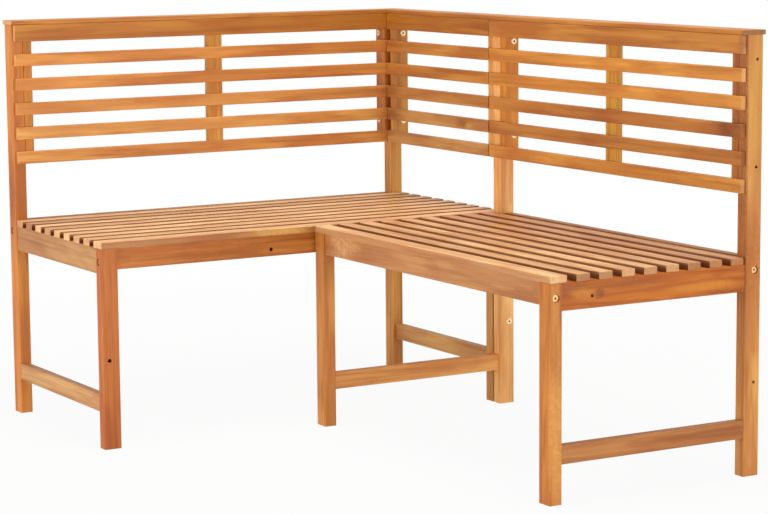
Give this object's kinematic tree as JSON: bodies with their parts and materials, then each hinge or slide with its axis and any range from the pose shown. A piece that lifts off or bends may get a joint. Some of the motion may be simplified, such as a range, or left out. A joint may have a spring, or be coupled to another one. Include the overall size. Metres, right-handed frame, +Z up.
{
  "type": "corner bench",
  "caption": "Slatted wooden corner bench: a long and a short seat unit bolted at a right angle, with open slatted backs that meet in the corner.",
  "frame": {"origin": "centre of the bounding box in plan, on the floor", "axes": "+X along the long unit towards the corner, +Y from the short unit's free end towards the long unit's back, +Z up"},
  "size_m": [1.037, 1.453, 0.905],
  "materials": {
    "acacia_frame": "oiled satin",
    "acacia_seat": "oiled satin",
    "acacia_back": "oiled satin",
    "zinc_plated_steel": "zinc plated",
    "beech_dowel": "plain"
  },
  "bodies": {
    "root": {"barrel_nuts": "zinc_plated_steel", "connector_bolts": "zinc_plated_steel", "joining_bolts": "zinc_plated_steel", "long_back_apron": "acacia_frame", "long_back_slat_1": "acacia_back", "long_back_slat_2": "acacia_back", "long_back_slat_3": "acacia_back", "long_back_slat_4": "acacia_back", "long_back_slat_5": "acacia_back", "long_cap_rail": "acacia_back", "long_centre_stile": "acacia_back", "long_corner_back_post": "acacia_frame", "long_corner_front_leg": "acacia_frame", "long_corner_side_apron": "acacia_frame", "long_corner_stile": "acacia_back", "long_corner_stretcher": "acacia_frame", "long_front_apron": "acacia_frame", "long_outer_back_post": "acacia_frame", "long_outer_front_leg": "acacia_frame", "long_outer_side_apron": "acacia_frame", "long_outer_stile": "acacia_back", "long_outer_stretcher": "acacia_frame", "long_seat_battens": "acacia_frame", "long_seat_slats": "acacia_seat", "long_top_rail": "acacia_back", "panel_bolts": "zinc_plated_steel", "return_back_slat_1": "acacia_back", "return_back_slat_2": "acacia_back", "return_back_slat_3": "acacia_back", "return_back_slat_4": "acacia_back", "return_back_slat_5": "acacia_back", "return_cap_rail": "acacia_back", "return_corner_stile": "acacia_back", "return_end_stile": "acacia_back", "return_top_rail": "acacia_back", "seat_screws": "zinc_plated_steel", "short_back_apron": "acacia_frame", "short_back_slat_1": "acacia_back", "short_back_slat_2": "acacia_back", "short_back_slat_3": "acacia_back", "short_back_slat_4": "acacia_back", "short_back_slat_5": "acacia_back", "short_cap_rail": "acacia_back", "short_centre_stile": "acacia_back", "short_front_apron": "acacia_frame", "short_inner_back_post": "acacia_frame", "short_inner_front_leg": "acacia_frame", "short_inner_side_apron": "acacia_frame", "short_inner_stile": "acacia_back", "short_inner_stretcher": "acacia_frame", "short_outer_back_post": "acacia_frame", "short_outer_front_leg": "acacia_frame", "short_outer_side_apron": "acacia_frame", "short_outer_stile": "acacia_back", "short_outer_stretcher": "acacia_frame", "short_seat_battens": "acacia_frame", "short_seat_slats": "acacia_seat", "short_top_rail": "acacia_back", "threaded_inserts": "zinc_plated_steel", "wooden_dowels": "beech_dowel"}
  },
  "joints": []
}
